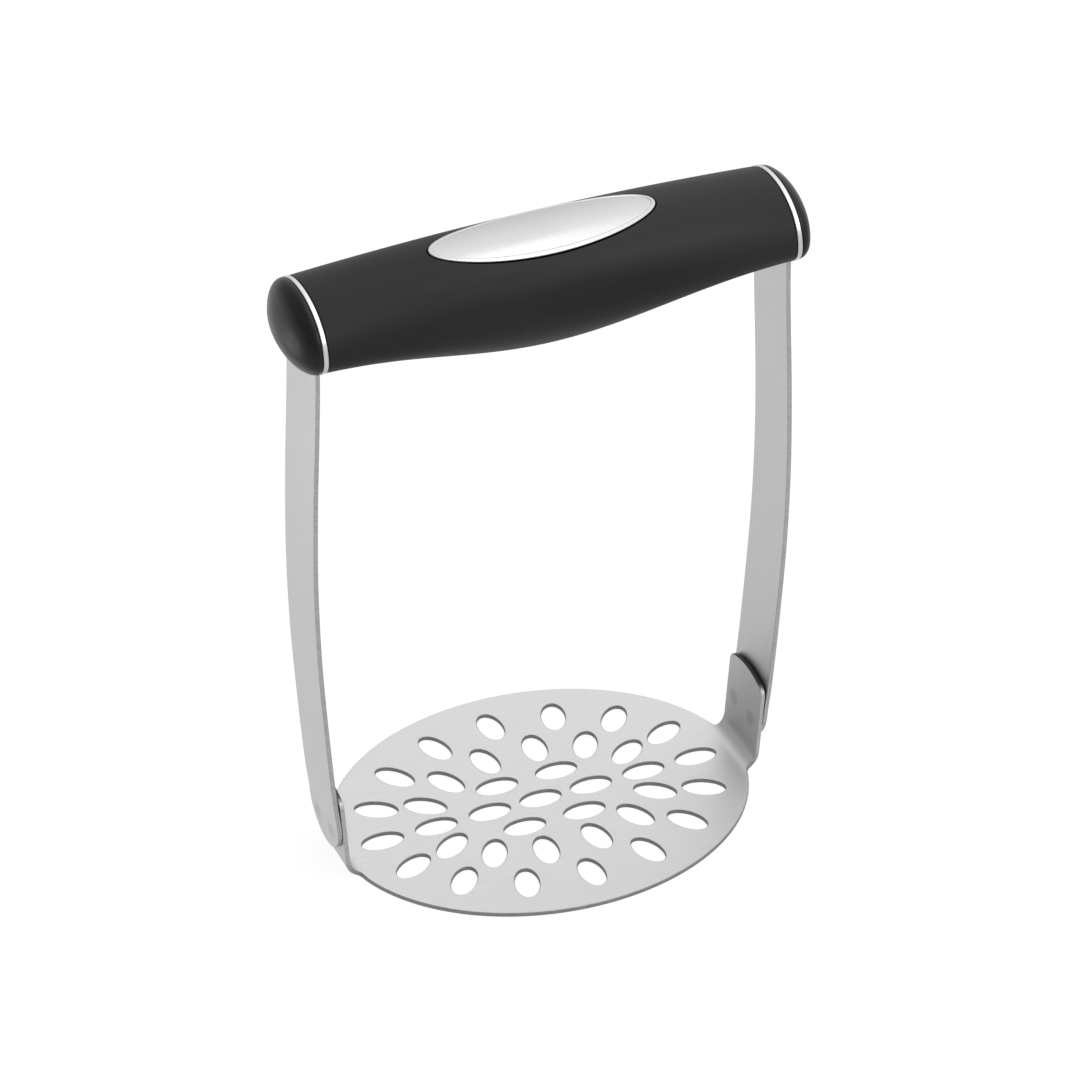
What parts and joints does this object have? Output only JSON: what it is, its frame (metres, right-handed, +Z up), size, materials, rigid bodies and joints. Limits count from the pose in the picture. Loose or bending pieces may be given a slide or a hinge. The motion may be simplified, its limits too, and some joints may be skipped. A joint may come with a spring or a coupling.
{
  "type": "potato masher",
  "caption": "Hand masher with a flat oval perforated plate, two bowed flat side arms and a padded cross handle with domed end caps and an oval badge.",
  "frame": {"origin": "on the ground plane, under the middle of the pressing plate", "axes": "+X along the handle to the right end, +Y to the back, +Z up from the plate to the handle"},
  "size_m": [0.1328, 0.0864, 0.1714],
  "materials": {
    "plate_steel": "satin stainless sheet, fine uniform grain",
    "arm_steel": "satin stainless strap brushed along its length, polished head edge",
    "soft_grip": "matte soft-touch elastomer",
    "core_plastic": "moulded, as ejected",
    "cap_plastic": "smooth satin-gloss black",
    "badge_metal": "polished rim, finely brushed face, blank",
    "adhesive": "foam tape",
    "screw_steel": "bright plated",
    "weld_steel": "fused steel, grey"
  },
  "bodies": {
    "root": {"mashing_plate": "plate_steel", "left_arm": "arm_steel", "right_arm": "arm_steel", "grip_sleeve": "soft_grip", "handle_core": "core_plastic", "left_end_cap": "cap_plastic", "right_end_cap": "cap_plastic", "badge_plate": "badge_metal", "badge_adhesive": "adhesive", "left_front_screw": "screw_steel", "left_back_screw": "screw_steel", "right_front_screw": "screw_steel", "right_back_screw": "screw_steel", "left_front_weld_nugget": "weld_steel", "left_back_weld_nugget": "weld_steel", "right_front_weld_nugget": "weld_steel", "right_back_weld_nugget": "weld_steel"}
  },
  "joints": []
}
